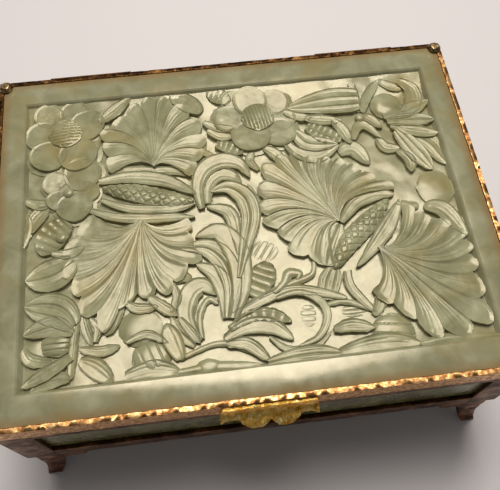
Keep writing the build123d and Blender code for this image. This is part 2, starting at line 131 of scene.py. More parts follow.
def worn_copy(node, body, material, edge, cell, wander):
    """A cut piece as the bench leaves it: the CAD piece with its arrises rounded by edge, cut every
    cell, and its skin let wander by wander, never outside the piece's own box. All in millimetres."""
    shape = bmesh.new()
    shape.from_mesh(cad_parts[node].data)
    low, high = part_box(node)
    bmesh.ops.remove_doubles(shape, verts=shape.verts, dist=0.002 * MM)
    bmesh.ops.dissolve_limit(shape, angle_limit=radians(1), verts=shape.verts, edges=shape.edges)
    arrises = [line for line in shape.edges
               if line.is_manifold and line.calc_face_angle() > radians(ARRIS_ANGLE)]
    bmesh.ops.bevel(shape, geom=arrises, offset=edge * MM, offset_type="OFFSET", segments=2, profile=0.5,
                    affect="EDGES", material=-1, clamp_overlap=True)
    for axis in range(3):
        cuts = ceil((high[axis] - low[axis]) / (cell * MM))
        facing = Vector([float(axis == other) for other in range(3)])
        for cut in range(1, cuts):
            bmesh.ops.bisect_plane(shape, geom=shape.verts[:] + shape.edges[:] + shape.faces[:],
                                   dist=0.001 * MM, plane_co=low.lerp(high, cut / cuts), plane_no=facing)
    for corner in shape.verts:
        sway = noise.noise_vector(corner.co / (cell * 1.7 * MM)) * 0.7
        sway += noise.noise_vector(corner.co / (cell * 0.6 * MM)) * 0.3
        moved = corner.co + sway * wander * MM
        corner.co = [min(max(moved[axis], low[axis]), high[axis]) for axis in range(3)]
    bmesh.ops.triangulate(shape, faces=shape.faces)
    bmesh.ops.recalc_face_normals(shape, faces=shape.faces)
    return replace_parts(finish_piece(shape, "worn_" + node, body, material), node)


browned_brass = cut_brass("browned_sheet_brass", "#372416", "#573a22", "#805833", polish=0.36,
                          grain_mm=6.0)
for node in POSTS + RAILS:
    worn_copy(node, "case", browned_brass, FRAME_EDGE, FRAME_CELL, FRAME_WANDER)

# Four bracket feet, cast in brass and filed, soldered under the corners. They are the roughest and
# darkest metal on the box: coppery brown with pits, rubbed brighter on the toes.
FOOT_EDGE = 0.22
FOOT_CELL = 1.6
FOOT_WANDER = 0.3
pitted_brass = cut_brass("pitted_cast_brass", "#34200f", "#68402a", "#9a673c", polish=0.36,
                         grain_mm=3.4)
for corner_name in ("front_left", "front_right", "rear_right", "rear_left"):
    worn_copy(f"{corner_name}_foot", "case", pitted_brass, FOOT_EDGE, FOOT_CELL, FOOT_WANDER)

# Side panels and base: slabs of jade sawn 4 mm thick and polished. They are the darker, greener part
# of the stone, and their arrises are only just broken.
PANEL_EDGE = 0.2
PANEL_CELL = 12.0
PANEL_WANDER = 0.03
# How far the dust and painted shade in the carving's corners reach, in millimetres.
DUST_AND_SHADE_REACH = 0.8
SLAB_LOW, SLAB_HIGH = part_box("lid_panel")
STAIN_EDGE = 2.8


def polished_jade(name, clouds, stain, dust_and_shade, polish, cloud_mm, ripple_mm, ripple_depth_mm, gloss=0.6,
                  rim_stain=""):
    """Nephrite jade, sawn and polished: a tough, slightly see-through stone with soft clouds and a
    yellow-brown stain. The polish gives a clear reflection over a soft glow from within. Old polishing
    paste and dust lie in the corners of the carving, and there the colour is also darkened as painted
    shade, by how shut in each spot is."""
    material = start_material(name)
    place = add_node(material, "ShaderNodeTexCoord", {}).outputs["Object"]
    cloud = add_node(material, "ShaderNodeTexNoise",
                     {"Vector": place, "Scale": 1 / (cloud_mm * MM), "Detail": 5.0, "Roughness": 0.55,
                      "Distortion": 0.6}).outputs["Fac"]
    stone = add_node(material, "ShaderNodeValToRGB", {"Fac": cloud}, clouds).outputs["Color"]
    vein = add_node(material, "ShaderNodeTexNoise",
                    {"Vector": place, "Scale": 1 / (cloud_mm * 2.6 * MM), "Detail": 3.0,
                     "Distortion": 1.2}).outputs["Fac"]
    stained = add_node(material, "ShaderNodeValToRGB", {"Fac": vein}, ((0.5, 0.0), (0.72, 0.55)))
    colour = add_node(material, "ShaderNodeMix",
                      {0: stained.outputs["Color"], 6: stone, 7: linear(stain)},
                      data_type="RGBA").outputs[2]
    if rim_stain:
        axes = add_node(material, "ShaderNodeSeparateXYZ", {"Vector": place}).outputs
        for axis in (0, 1):
            middle = (SLAB_LOW[axis] + SLAB_HIGH[axis]) / 2
            away = add_node(material, "ShaderNodeMath", {0: axes[axis], 1: middle}, operation="SUBTRACT")
            reach = add_node(material, "ShaderNodeMath", {0: away.outputs[0]}, operation="ABSOLUTE")
            amount = add_node(material, "ShaderNodeMapRange",
                              {"Value": reach.outputs[0], "From Min": SLAB_HIGH[axis] - middle
                               - STAIN_EDGE * MM, "From Max": SLAB_HIGH[axis] - middle,
                               "To Min": 0.0, "To Max": 0.7})
            colour = add_node(material, "ShaderNodeMix",
                              {0: amount.outputs["Result"], 6: colour, 7: linear(rim_stain)},
                              data_type="RGBA").outputs[2]
    # Dust and painted shade: where nearby surfaces hem a spot in, its colour is darkened towards the
    # dust-and-shade colour.
    corner = add_node(material, "ShaderNodeAmbientOcclusion", {"Distance": DUST_AND_SHADE_REACH * MM}, samples=6)
    dust_and_shade_share = add_node(material, "ShaderNodeValToRGB", {"Fac": corner.outputs["AO"]},
                       ((0.1, 0.6), (0.5, 0.0)))
    colour = add_node(material, "ShaderNodeMix",
                      {0: dust_and_shade_share.outputs["Color"], 6: colour, 7: linear(dust_and_shade)},
                      data_type="RGBA").outputs[2]
    ripple = add_node(material, "ShaderNodeTexNoise",
                      {"Vector": place, "Scale": 1 / (ripple_mm * MM), "Detail": 3.0}).outputs["Fac"]
    smudge = add_node(material, "ShaderNodeValToRGB", {"Fac": ripple},
                      ((0.35, polish), (0.65, polish + 0.1)))
    waves = add_node(material, "ShaderNodeBump",
                     {"Height": ripple, "Distance": ripple_depth_mm * MM, "Strength": 0.6})
    shader = add_node(material, "ShaderNodeBsdfPrincipled",
                      {"Base Color": colour, "Roughness": smudge.outputs["Color"], "IOR": 1.61,
                       "Specular IOR Level": gloss, "Specular Tint": linear("#fff4da"),
                       "Subsurface Weight": 0.35, "Subsurface Radius": (1.0, 0.97, 0.8),
                       "Subsurface Scale": 0.9 * MM, "Normal": waves.outputs["Normal"]})
    add_node(material, "ShaderNodeOutputMaterial", {"Surface": shader.outputs["BSDF"]})
    return material


side_jade = polished_jade("polished_side_jade", ((0.36, "#54532f"), (0.52, "#6f6f45"), (0.68, "#86855a")),
                          "#6d5c33", "#3a2d16", polish=0.18, cloud_mm=9.0, ripple_mm=5.0,
                          ripple_depth_mm=0.04)
for node in ("front_panel", "right_panel", "rear_panel", "left_panel", "base_panel"):
    worn_copy(node, "case", side_jade, PANEL_EDGE, PANEL_CELL, PANEL_WANDER)

# The lid's rim: four gilt brass rails, mitred round the slab. The gilding is bright on the front and the
# right. The back and left rails get a darker, browner copy of it, painted shade for the dark reflection those
# rails show.
RIM_EDGE = 0.4
RIM_CELL = 1.1
RIM_WANDER = 0.22
gilt_brass = cut_brass("worn_gilt_brass", "#7c5030", "#bb8852", "#ecc88c", polish=0.28, grain_mm=1.3)
# Painted shade: a darker copy of the gilt for the back and left rails, in place of the dark reflection they
# show.
shaded_gilt = cut_brass("shaded_gilt_brass", "#2a1b0e", "#4e351d", "#94693a", polish=0.3,
                           grain_mm=2.2)
for side, metal in (("front", gilt_brass), ("right", gilt_brass), ("rear", shaded_gilt),
                    ("left", shaded_gilt)):
    worn_copy(f"lid_{side}_rail", "lid", metal, RIM_EDGE, RIM_CELL, RIM_WANDER)

# The carved slab: one plate of jade set in the rim. A polished border slopes down into a sunk field, its
# floor ground by hand, from which the flowers and leaves stand up. Here each is a shell let into the floor.
FACE = Matrix.Translation(((SLAB_LOW.x + SLAB_HIGH.x) / 2, (SLAB_LOW.y + SLAB_HIGH.y) / 2, SLAB_HIGH.z))
SLAB_X = (SLAB_HIGH.x - SLAB_LOW.x) / MM / 2
SLAB_Y = (SLAB_HIGH.y - SLAB_LOW.y) / MM / 2
SLAB_THICK = (SLAB_HIGH.z - SLAB_LOW.z) / MM
CORNER_CUT = 2.9
BORDER_ARRIS = 0.2
FIELD_X = 62.2
FIELD_Y = 45.2
FIELD_ARRIS = 0.5
FIELD_SLOPE = 1.0
GROUND = -2.1
ROOT = -2.4
GROUND_INSET = 0.2
GROUND_LIFT = 0.12
GROUND_SWELL = 0.16
WALL_ROUGH = 0.16
RAGGED = 1.6
EDGE_RISE = 1.0
EDGE_REACH = 9.0

border_jade = polished_jade("polished_border_jade", ((0.34, "#8a8868"), (0.5, "#989677"), (0.66, "#a6a485")),
                            "#988855", "#8d8763", polish=0.14, cloud_mm=8.0, ripple_mm=3.6,
                            ripple_depth_mm=0.05, gloss=0.8, rim_stain="#936f3c")
motif_jade = polished_jade("carved_motif_jade", ((0.34, "#84825f"), (0.5, "#979573"), (0.66, "#aaa987")),
                           "#9a8a52", "#776a41", polish=0.17, cloud_mm=7.0, ripple_mm=2.6,
                           ripple_depth_mm=0.03, gloss=0.48)
ground_jade = polished_jade("polished_ground_jade", ((0.34, "#8b8867"), (0.5, "#9b9877"), (0.66, "#acaa8a")),
                            "#a0925f", "#8a8058", polish=0.12, cloud_mm=7.0, ripple_mm=4.2,
                            ripple_depth_mm=0.05, gloss=0.58)


def to_lid(shape):
    """Takes a shape drawn in millimetres from the middle of the slab's face to its place in the lid."""
    bmesh.ops.transform(shape, matrix=FACE @ Matrix.Scale(MM, 4), verts=shape.verts)


def raise_patch(shape, place, across, along):
    """Bends a square grid into a carved surface: place turns side (-1 to 1) and run (0 to 1) into x, y
    and a height over the slab's face."""
    grid = bmesh.ops.create_grid(shape, x_segments=across, y_segments=along, size=1.0)
    for corner in grid["verts"]:
        corner.co = place(corner.co.x, (corner.co.y + 1) / 2)


def wall_down(shape, foot=ROOT, rough=WALL_ROUGH):
    """Cuts steep, tool-marked walls from a carved surface's outline down into the ground, and closes it."""
    bmesh.ops.remove_doubles(shape, verts=shape.verts, dist=0.01)
    rim = [line for line in shape.edges if line.is_boundary]
    for corner in {corner for line in rim for corner in line.verts}:
        sway = noise.noise_vector(corner.co * 0.8)
        corner.co += Vector((sway.x, sway.y, 0)) * rough * RAGGED
    for share in (0.5, 1.0):
        walls = bmesh.ops.extrude_edge_only(shape, edges=rim)
        lower = {part for part in walls["geom"] if isinstance(part, bmesh.types.BMVert)}
        for corner in lower:
            sway = noise.noise_vector(corner.co * 0.9) * rough
            corner.co += Vector((sway.x, sway.y, (foot - corner.co.z) * share))
        rim = [part for part in walls["geom"] if isinstance(part, bmesh.types.BMEdge)
               and lower.issuperset(part.verts)]
    bmesh.ops.holes_fill(shape, edges=rim, sides=0)
    bmesh.ops.recalc_face_normals(shape, faces=shape.faces)


def join_shell(group, shell):
    """Adds a closed shell to a group of shells."""
    part = bpy.data.meshes.new("part")
    shell.to_mesh(part)
    shell.free()
    group.from_mesh(part)
    bpy.data.meshes.remove(part)


plate = bmesh.new()
bmesh.ops.create_cube(plate, size=1.0, matrix=Matrix.Translation((0, 0, -SLAB_THICK / 2))
                      @ Matrix.Diagonal((SLAB_X * 2, SLAB_Y * 2, SLAB_THICK, 1)))
uprights = [line for line in plate.edges if abs(line.verts[0].co.z - line.verts[1].co.z) > 1]
bmesh.ops.bevel(plate, geom=uprights, offset=CORNER_CUT, segments=1, profile=0.5, affect="EDGES",
                material=-1)
outline = max(plate.faces, key=lambda side: side.normal.z).edges[:]
bmesh.ops.bevel(plate, geom=outline, offset=BORDER_ARRIS, segments=2, profile=0.5, affect="EDGES",
                material=-1)
top = [max(plate.faces, key=lambda side: side.normal.z * side.calc_area())]
bmesh.ops.inset_region(plate, faces=top, thickness=3.0, use_even_offset=True)
for corner in top[0].verts:
    corner.co.x = FIELD_X if corner.co.x > 0 else -FIELD_X
    corner.co.y = FIELD_Y if corner.co.y > 0 else -FIELD_Y
bmesh.ops.remove_doubles(plate, verts=plate.verts, dist=0.01)
top = [min((side for side in plate.faces if side.normal.z > 0.9),
           key=lambda side: side.calc_center_median().xy.length)]
for thickness, depth in ((FIELD_ARRIS, -FIELD_ARRIS * 0.7), (FIELD_SLOPE, GROUND + FIELD_ARRIS * 0.7)):
    bmesh.ops.inset_region(plate, faces=top, thickness=thickness, depth=depth, use_even_offset=True)
bmesh.ops.recalc_face_normals(plate, faces=plate.faces)
to_lid(plate)
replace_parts(finish_piece(plate, "carved_slab", "lid", border_jade, 25), "lid_panel")

ground = bmesh.new()


def swell(side, run):
    """The hand-ground floor of the field: level, with soft swells that break up its reflections, and
    rising a little to the border at the back."""
    x = side * (FIELD_X - GROUND_INSET)
    y = (run * 2 - 1) * (FIELD_Y - GROUND_INSET)
    height = noise.noise(Vector((x, y, 0)) / 6) + 0.4 * noise.noise(Vector((x, y, 5)) / 3.2)
    near = max(1 - (FIELD_Y - y) / EDGE_REACH, 0)
    return (x, y, GROUND + GROUND_LIFT + GROUND_SWELL * height + EDGE_RISE * near)


raise_patch(ground, swell, 124, 90)
wall_down(ground, GROUND - 0.4, 0.0)
to_lid(ground)
finish_piece(ground, "sunk_ground", "lid", ground_jade)

# The four fans of leaves: cut lobe by lobe as by a round gouge, channels and fine veins between thin
# ridges that meet along the midrib and end in a scalloped outline. How far each lobe leans, and where
# its veins lie, is not taken from the real piece.
RIDGE_TOP = -0.2
RIDGE_FALL = 0.35
RIDGE_RISE = 0.2
RIDGE_FOOT = 0.5
CHANNEL_DEPTH = 0.26
GOUGE_HALF = 1.6
TIP_REACH = 1.6
TIP_DEPTH = 0.45
LOBE_TILT = 1.7
GATHER = 0.43
LEAN = 0.32
NOTCH = 0.10
ROUNDNESS = 0.62
LOBE_ACROSS = 30
LOBE_ALONG = 24
VEIN_RISE = 0.09
VEIN_HALF = 0.28
VEINS = (-0.42, 0.12, 0.55)
TOOL_MARK = 0.035

FANS = {
    "upper_left_fan": ((-24.3, 18.0), (0.05, 1.0), (
        (-38.0, 20.5), (-39.0, 26.8), (-39.6, 32.5), (-34.8, 36.8), (-29.8, 42.0), (-25.0, 44.3),
        (-19.5, 43.6), (-13.6, 39.6), (-9.4, 32.8), (-8.2, 26.0), (-9.4, 21.0), (-12.0, 15.8))),
    "lower_left_fan": ((-28.7, 1.2), (-0.18, -0.98), (
        (-14.8, -2.6), (-14.8, -7.2), (-13.0, -13.2), (-18.6, -18.4), (-22.6, -22.4), (-28.3, -22.8),
        (-33.8, -24.0), (-40.0, -31.0), (-46.0, -25.3), (-48.0, -19.0), (-50.6, -13.5), (-50.4, -6.0),
        (-46.0, 1.0))),
    "upper_right_fan": ((26.3, -6.3), (-0.536, 0.844), (
        (18.6, -18.6), (11.4, -14.4), (9.2, -8.8), (5.0, -4.2), (4.2, 1.2), (4.8, 7.4), (7.0, 15.0),
        (12.4, 18.3), (17.0, 18.4), (22.0, 16.6), (26.2, 15.8), (30.3, 14.6), (34.6, 12.0), (38.5, 8.4),
        (43.3, 4.8))),
    "lower_right_fan": ((35.3, -15.5), (0.66, -0.75), (
        (47.5, -3.8), (51.0, -7.0), (56.5, -9.5), (60.7, -13.5), (61.4, -18.3), (61.4, -23.5),
        (61.2, -30.5), (60.8, -40.0), (52.8, -43.4), (44.6, -42.8), (38.6, -36.0), (33.4, -31.4))),
}


def bowed(start, end, axis, run):
    """A point of a ridge that leaves start along the midrib's direction and bows out to end."""
    chord = end - start
    pull = start + chord * LEAN + axis * GATHER * chord.length
    return start.lerp(pull, run).lerp(pull.lerp(end, run), run)


def gouged(side, half):
    """Depth of a channel under the sharp ridges beside it: the foot of the ridge, then a shallow round
    floor. A narrow channel is shallower."""
    foot = min((1 - abs(side)) * half / RIDGE_FOOT, 1)
    return (RIDGE_RISE * foot * (2 - foot) + CHANNEL_DEPTH * (1 - side * side)) * min(half / GOUGE_HALF, 1)


def veined(side, half):
    """Height of the fine veins left standing along the floor of a channel."""
    return VEIN_RISE * max(max(1 - abs(side - vein) * half / VEIN_HALF, 0) for vein in VEINS)


def carve_lobe(shape, root, axis, left, tip, right):
    """One channel between two ridges, which it shares with its neighbours, up to a low rim at its tip. Its
    floor leans to one side or the other by a fixed noise."""
    length = (tip - root).length
    tilt = LOBE_TILT * noise.noise(Vector((tip.x, tip.y, 7)) * 3.3)

    def place(side, run):
        side, run = sin(side * pi / 2), sin(run * pi / 2)
        one = bowed(root, left, axis, run)
        other = bowed(root, right, axis, run)
        middle = bowed(root, tip, axis, run)
        bulge = max(1 - side * side, 0) ** ROUNDNESS
        spot = one.lerp(other, (side + 1) / 2) + (middle - (one + other) / 2) * bulge
        depth = gouged(side, (other - one).length / 2) * (1 + tilt * side)
        depth *= TIP_DEPTH + (1 - TIP_DEPTH) * min((1 - run) * length / TIP_REACH, 1)
        depth -= veined(side, (other - one).length / 2) * sin(run * pi)
        marks = TOOL_MARK * noise.noise(Vector((spot.x, spot.y, 3)) * 0.8)
        return (spot.x, spot.y, RIDGE_TOP - RIDGE_FALL * run - depth + marks)

    raise_patch(shape, place, LOBE_ACROSS, LOBE_ALONG)


for name, (root, axis, tips) in FANS.items():
    fan = bmesh.new()
    root, axis = Vector(root), Vector(axis).normalized()
    tips = [Vector(tip) for tip in tips]
    cusps = [(one + other) / 2 for one, other in zip(tips, tips[1:])]
    cusps = [tips[0] * 2 - cusps[0]] + cusps + [tips[-1] * 2 - cusps[-1]]
    cusps = [cusp.lerp(root, NOTCH) for cusp in cusps]
    for left, tip, right in zip(cusps, tips, cusps[1:]):
        carve_lobe(fan, root, axis, left, tip, right)
    wall_down(fan)
    to_lid(fan)
    finish_piece(fan, name, "lid", motif_jade, 35)

# Single leaves, sheaths, stems and scrolls: blades cut along a curved line, with one or more veined
# channels between raised edges, or crowned where they have none. Some have fine lines cut across them.
# The larger ones lie as on the real slab. Many of the small ones are simplified or fill a gap.
CROWN = 0.3
FLUTE_COLUMNS = 22
BLADE_ALONG = 28
LINE_ROWS = 6
LINE_DEPTH = 0.3


def smooth_line(points, run):
    """The point a share of the way along a smooth curve through a few points."""
    last = len(points) - 1
    index = min(int(run * last), last - 1)
    share = run * last - index
    before, here, there, after = (Vector(points[min(max(index + step, 0), last)])
                                  for step in (-1, 0, 1, 2))
    return 0.5 * (2 * here + (there - before) * share
                  + (2 * before - 5 * here + 4 * there - after) * share ** 2
                  + (3 * here - before - 3 * there + after) * share ** 3)


def square_across(points, run):
    """The direction square to a smooth curve, a share of the way along it."""
    ahead = smooth_line(points, min(run + 0.02, 1)) - smooth_line(points, max(run - 0.02, 0))
    return Vector((-ahead.y, ahead.x)).normalized()


def blade_width(run, widest, root_share, point):
    """Share of a blade's full width: narrow at the root, fullest at widest, round or pointed at the tip."""
    if run < widest:
        return root_share + (1 - root_share) * sin(pi / 2 * run / widest)
    return max(cos(pi / 2 * (run - widest) / (1 - widest)), 0.0) ** point


def carve_blade(shape, spine, width, flutes, top=-0.5, fall=0.25, widest=0.55, root_share=0.4, point=0.8,
                lines=0):
    """One blade along spine, with a number of flutes along it and of lines across it."""

    def place(side, run):
        half = width / 2 * max(blade_width(run, widest, root_share, point), 0.02)
        depth = CROWN * half * side * side
        if flutes:
            share = (side + 1) / 2 * flutes
            index = min(floor(share), flutes - 1)
            inside = sin((2 * (share - index) - 1) * pi / 2)
            side = (2 * index + 1 + inside) / flutes - 1
            depth = gouged(inside, half / flutes) - veined(inside, half / flutes) * sin(run * pi)
        spot = smooth_line(spine, run) + square_across(spine, run) * side * half
        if lines:
            beat = run * lines
            depth += LINE_DEPTH * max(1 - abs(beat - round(beat)) * 3, 0)
        marks = TOOL_MARK * noise.noise(Vector((spot.x, spot.y, 9)) * 0.8)
        return (spot.x, spot.y, top - fall * run - depth + marks)

    raise_patch(shape, place, max(flutes, 1) * FLUTE_COLUMNS, max(BLADE_ALONG, lines * LINE_ROWS))


def carve_blades(name, blades):
    """A group of blades that belong together. Each is its own closed shell sunk into the ground."""
    group = bmesh.new()
    for spine, width, flutes, manner in blades:
        single = bmesh.new()
        carve_blade(single, spine, width, flutes, **manner)
        wall_down(single)
        join_shell(group, single)
    to_lid(group)
    return finish_piece(group, name, "lid", motif_jade, 35)


PLAIN = {}
LOW = {"top": -0.95}
STEM = {"top": -0.8, "root_share": 0.9, "point": 0.4}
carve_blades("left_pod_sheaths", (
    (((-40.4, 14.9), (-31.0, 15.4), (-21.0, 13.0), (-12.8, 7.6)), 4.6, 1, {"top": -0.4}),
    (((-40.0, 8.8), (-31.5, 4.9), (-20.0, 3.6), (-13.4, 4.4)), 3.0, 1, PLAIN),
    (((-44.2, 6.2), (-36.0, 2.7), (-28.5, 1.5), (-20.0, 0.9), (-13.8, 0.2)), 3.4, 1, PLAIN),
    (((-37.6, 19.0), (-30.0, 18.0), (-24.3, 17.0), (-18.5, 16.4), (-12.4, 13.4)), 3.2, 1, LOW),
    (((-39.8, 36.2), (-35.2, 39.8), (-30.2, 44.8)), 4.4, 1, {"top": -0.3, "point": 1.0}),
    (((-40.4, 37.4), (-41.0, 32.0), (-41.3, 25.4)), 3.4, 1, LOW),
))
carve_blades("centre_plume", (
    (((-8.2, -31.0), (-7.8, -24.0), (-9.6, -18.0), (-14.8, -14.4)), 5.2, 1, {"top": -0.55}),
    (((-7.4, -31.0), (-5.6, -22.0), (-7.0, -14.5), (-11.4, -9.8), (-18.4, -9.4)), 6.6, 2, {"top": -0.45}),
    (((-6.6, -31.0), (-3.2, -22.0), (-3.4, -12.0), (-7.6, -5.4), (-14.2, -6.2)), 6.8, 1, {"top": -0.3}),
    (((-5.8, -30.0), (-1.9, -19.0), (-0.4, -10.0), (2.6, -2.6), (4.3, 2.4), (2.2, 9.4)), 3.4, 1,
     {"top": -0.7, "root_share": 0.3}),
    (((-3.6, -20.0), (-0.6, -10.0), (1.8, -2.0), (1.0, 4.6), (-3.4, 8.6), (-8.6, 7.6)), 6.0, 2,
     {"top": -0.35, "fall": 0.1, "root_share": 0.15}),
    (((-3.0, -13.0), (-3.0, -4.4), (-4.6, 1.0), (-10.2, 3.2)), 4.2, 1, {"top": -0.6, "root_share": 0.15}),
    (((-16.0, -36.4), (-18.6, -29.0), (-17.0, -22.8), (-13.4, -20.8), (-10.2, -24.0)), 5.6, 1, {"top": -0.7}),
    (((-15.2, -35.6), (-15.0, -29.0), (-12.4, -25.0), (-10.0, -26.6)), 1.8, 0, STEM),
    (((-20.8, -40.6), (-22.4, -35.6), (-24.0, -30.4)), 5.2, 1, PLAIN),
    (((-17.2, -37.4), (-20.4, -33.6), (-22.6, -28.4)), 3.0, 1, LOW),
    (((-16.4, -18.6), (-19.0, -17.6), (-21.4, -19.0)), 3.4, 1, LOW),
    (((-34.0, -23.4), (-31.0, -25.4), (-25.6, -25.4)), 3.0, 1, {"top": -0.7}),
    (((-28.0, -22.4), (-24.6, -25.6), (-20.8, -28.6)), 3.4, 1, {"top": -0.6}),
    (((-21.4, -19.6), (-20.6, -23.6), (-22.4, -27.4)), 2.6, 1, {"top": -0.7}),
    (((-20.4, -29.4), (-18.2, -33.0), (-15.6, -36.8)), 2.8, 1, {"top": -0.6}),
    (((-34.4, -34.4), (-29.0, -32.8), (-23.6, -35.8)), 2.4, 1, {"top": -0.6}),
    (((-20.8, -40.2), (-11.0, -37.4), (-3.0, -40.2), (0.6, -43.4)), 1.7, 0, {"top": -0.9, "root_share": 0.7}),
    (((-42.4, -33.2), (-41.6, -29.4), (-43.6, -26.4)), 2.2, 1, LOW),
))
carve_blades("scroll", (
    (((-11.6, 2.6), (-12.0, 10.0), (-9.4, 15.8), (-4.2, 18.0), (0.8, 16.2), (3.2, 11.4)), 5.6, 1,
     {"root_share": 0.3, "top": -0.55}),
    (((-9.8, 4.0), (-9.0, 9.8), (-5.8, 13.2), (-2.0, 12.6), (0.6, 9.6)), 4.4, 1, {"top": -0.65}),
))
carve_blades("right_pod_sheaths", (
    (((26.0, -7.0), (22.4, -13.0), (20.2, -19.4)), 7.4, 2, PLAIN),
    (((26.8, -6.4), (32.0, -0.9), (38.0, 1.4), (43.6, 0.6)), 4.6, 1, PLAIN),
    (((28.6, -20.6), (35.6, -13.6), (40.4, -8.0), (45.0, -1.2)), 4.8, 1, {"root_share": 0.15}),
    (((18.8, -29.0), (20.4, -24.0), (22.8, -19.2)), 6.2, 3, LOW),
    (((25.6, -21.4), (25.9, -26.4), (30.6, -33.6)), 2.6, 1, STEM),
))
carve_blades("right_sprigs", (
    (((-6.4, -31.0), (1.6, -27.2), (9.0, -25.2), (16.0, -26.2), (24.2, -29.2)), 2.9, 1,
     {"root_share": 0.8, "point": 0.35}),
    (((-3.6, -28.6), (3.4, -25.4), (10.4, -23.0), (16.0, -21.2), (17.2, -17.2)), 2.0, 0, STEM),
    (((-0.4, -26.0), (2.6, -20.6), (4.8, -16.0)), 7.2, 1, {"lines": 6}),
    (((5.2, -25.4), (8.2, -22.8), (9.8, -20.2), (12.6, -20.6), (11.8, -22.4)), 2.8, 0, PLAIN),
    (((-7.8, -34.0), (-1.2, -31.0), (4.4, -31.6), (8.6, -34.0)), 3.8, 1, {"lines": 7}),
    (((-9.2, -36.6), (-3.0, -33.8), (3.4, -34.6), (8.4, -38.8)), 4.8, 1, PLAIN),
    (((-9.0, -37.8), (-3.4, -38.6), (1.8, -43.8)), 3.6, 1, PLAIN),
    (((5.6, -27.0), (11.6, -26.0), (16.8, -29.0), (18.0, -33.8), (14.8, -38.8), (9.4, -40.6)), 2.2, 1,
     {"root_share": 0.5, "point": 0.5}),
    (((19.0, -37.4), (24.0, -36.8), (29.8, -38.2)), 3.8, 1, PLAIN),
    (((2.4, -37.4), (6.6, -41.0), (13.0, -41.4), (18.6, -37.6)), 2.2, 1, LOW),
    (((18.6, -30.4), (24.0, -30.0), (31.2, -33.8)), 1.8, 0, LOW),
    (((30.2, -34.6), (32.6, -31.8), (33.2, -27.8)), 3.2, 1, LOW),
))
carve_blades("left_edge_leaves", (
    (((-49.0, 3.0), (-53.4, -1.0), (-56.6, -6.8)), 8.6, 1, {"lines": 7}),
    (((-47.6, -9.4), (-53.0, -12.8), (-60.6, -14.0)), 9.6, 2, PLAIN),
    (((-61.6, 11.4), (-57.6, 9.6), (-53.4, 9.8)), 3.4, 1, LOW),
    (((-60.2, 0.8), (-58.2, 5.2), (-54.8, 8.8)), 5.0, 1, LOW),
    (((-53.6, -6.6), (-49.0, -7.2), (-44.6, -5.4)), 3.0, 1, PLAIN),
    (((-61.6, -4.0), (-60.2, 2.0), (-60.6, 7.0)), 2.4, 0, LOW),
))
carve_blades("profile_flower", (
    (((-47.6, -28.4), (-52.0, -23.4), (-60.6, -21.4)), 9.4, 3, PLAIN),
    (((-48.0, -30.2), (-53.0, -27.6), (-60.6, -29.4)), 5.6, 2, PLAIN),
    (((-48.4, -36.6), (-54.0, -39.6), (-60.8, -43.0)), 3.6, 1, PLAIN),
    (((-48.8, -42.0), (-53.0, -41.8), (-58.6, -44.2)), 4.0, 2, LOW),
    (((-47.0, -25.8), (-47.8, -33.0), (-48.8, -42.4)), 2.2, 1, STEM),
    (((-46.2, -34.6), (-41.0, -35.8), (-36.0, -34.8)), 3.0, 1, LOW),
    (((-46.4, -37.6), (-42.4, -40.0), (-38.2, -44.2)), 5.4, 1, LOW),
    (((-45.6, -24.6), (-44.8, -29.0), (-43.2, -34.0)), 3.0, 1, LOW),
    (((-35.0, -21.6), (-37.6, -26.4), (-39.6, -31.8)), 5.0, 1, LOW),
    (((-60.6, -33.0), (-58.6, -36.0), (-53.0, -37.2)), 3.6, 1, LOW),
))
carve_blades("top_right_leaves", (
    (((40.0, 35.4), (30.0, 35.8), (17.6, 34.6)), 9.8, 3, {"root_share": 0.8, "widest": 0.35}),
    (((22.4, 30.2), (27.0, 29.2), (33.6, 28.2)), 3.8, 1, PLAIN),
    (((16.4, 33.4), (20.4, 31.2), (24.6, 30.4)), 3.0, 1, PLAIN),
    (((40.2, 30.2), (43.0, 36.4), (47.8, 42.4)), 3.2, 1, PLAIN),
    (((39.4, 30.8), (39.2, 37.4), (39.0, 44.4)), 3.0, 1, LOW),
    (((47.6, 42.2), (50.8, 40.0), (54.4, 37.8)), 3.4, 1, LOW),
    (((53.7, 41.4), (57.2, 37.4), (56.2, 31.6), (50.6, 27.6)), 5.4, 1, PLAIN),
    (((46.2, 28.0), (53.6, 29.4), (61.4, 32.4)), 4.8, 2, PLAIN),
    (((47.0, 26.0), (54.0, 26.0), (61.6, 25.2)), 4.8, 2, PLAIN),
    (((47.8, 24.4), (54.4, 21.8), (61.6, 20.0)), 4.0, 1, PLAIN),
    (((49.0, 22.4), (52.6, 15.6), (56.6, 7.4)), 6.2, 3, PLAIN),
    (((51.4, 21.6), (58.0, 17.4), (61.4, 9.0)), 6.8, 2, LOW),
    (((35.6, 20.6), (37.6, 25.0), (40.4, 25.4), (43.8, 20.4)), 3.4, 1, PLAIN),
    (((39.8, 29.0), (42.2, 27.6), (45.0, 24.0)), 3.4, 1, PLAIN),
    (((30.6, 16.6), (35.0, 17.8), (38.8, 11.6)), 5.4, 1, LOW),
    (((43.0, 20.8), (44.8, 17.2), (49.2, 16.4)), 3.8, 1, LOW),
    (((47.8, 15.2), (50.6, 12.0), (50.4, 7.4)), 3.6, 1, PLAIN),
    (((51.2, -4.4), (56.2, -6.0), (60.8, -14.6)), 5.4, 1, PLAIN),
    (((43.8, -2.2), (47.0, -3.2), (49.8, -3.8)), 2.8, 0, STEM),
))
